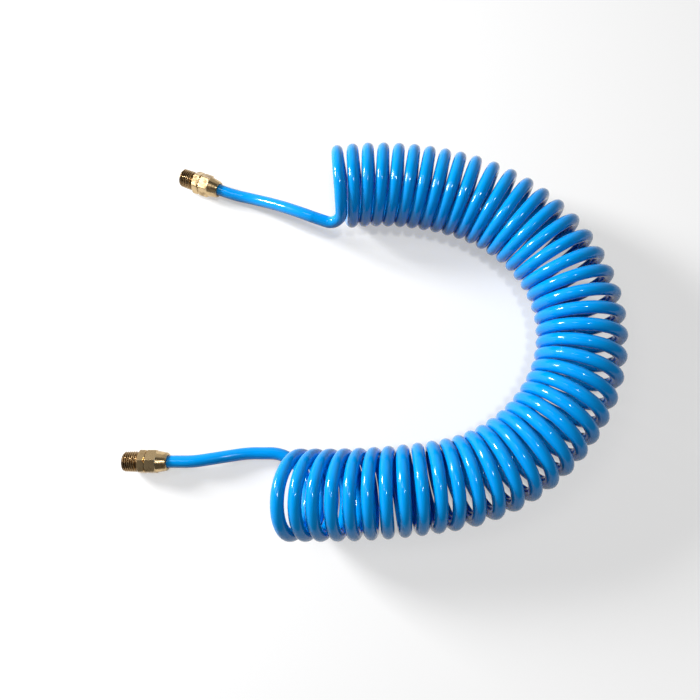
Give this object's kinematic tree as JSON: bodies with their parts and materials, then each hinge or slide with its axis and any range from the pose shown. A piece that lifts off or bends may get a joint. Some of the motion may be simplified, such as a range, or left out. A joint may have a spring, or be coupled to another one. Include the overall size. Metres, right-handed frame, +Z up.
{
  "type": "coiled air hose",
  "caption": "Blue recoil air hose lying in a U on a table, with straight tails and brass swivel fittings with male pipe threads.",
  "frame": {"origin": "middle of the footprint of the hose as it lies, on the table", "axes": "+Z up from the table. +X from the fittings towards the bend of the U. +Y from the lower fitting's leg to the upper fitting's leg."},
  "size_m": [0.3226, 0.2594, 0.0542],
  "materials": {
    "hose": "glossy polyurethane",
    "brass": "turned, satin",
    "steel": "spring wire",
    "rubber": "moulded"
  },
  "bodies": {
    "hose": {"hose_coil": "hose", "upper_tail": "hose", "lower_tail": "hose", "upper_body": "brass", "upper_retaining_ring": "steel", "lower_body": "brass", "lower_retaining_ring": "steel"},
    "upper_stud": {"upper_stud": "brass", "upper_o_ring": "rubber"},
    "upper_sleeve": {"upper_grip_sleeve": "brass"},
    "upper_nut": {"upper_nut": "brass"},
    "lower_stud": {"lower_stud": "brass", "lower_o_ring": "rubber"},
    "lower_sleeve": {"lower_grip_sleeve": "brass"},
    "lower_nut": {"lower_nut": "brass"}
  },
  "joints": [
    {"name": "upper_swivel", "type": "hinge", "parent": "hose", "child": "upper_stud", "pos_m": [-0.11958, 0.11279, 0.00828], "axis": [0.9397, -0.342, 0], "continuous": true},
    {"name": "upper_sleeve_slide", "type": "slide", "parent": "hose", "child": "upper_sleeve", "axis": [0.9397, -0.342, 0], "range_m": [0, 0.0051]},
    {"name": "upper_nut_turn", "type": "hinge", "parent": "upper_sleeve", "child": "upper_nut", "pos_m": [-0.113, 0.11039, 0.00828], "axis": [0.9397, -0.342, 0], "range_deg": [0, 1800]},
    {"name": "lower_swivel", "type": "hinge", "parent": "hose", "child": "lower_stud", "pos_m": [-0.14427, -0.08256, 0.0083], "axis": [1, 0, 0], "continuous": true},
    {"name": "lower_sleeve_slide", "type": "slide", "parent": "hose", "child": "lower_sleeve", "axis": [1, 0, 0], "range_m": [0, 0.0051]},
    {"name": "lower_nut_turn", "type": "hinge", "parent": "lower_sleeve", "child": "lower_nut", "pos_m": [-0.13727, -0.08256, 0.0083], "axis": [1, 0, 0], "range_deg": [0, 1800]}
  ],
  "couplings": [
    {"joint": "upper_sleeve_slide", "follows": "upper_nut_turn", "m_per_rad": 0.00015915},
    {"joint": "lower_sleeve_slide", "follows": "lower_nut_turn", "m_per_rad": 0.00015915}
  ]
}
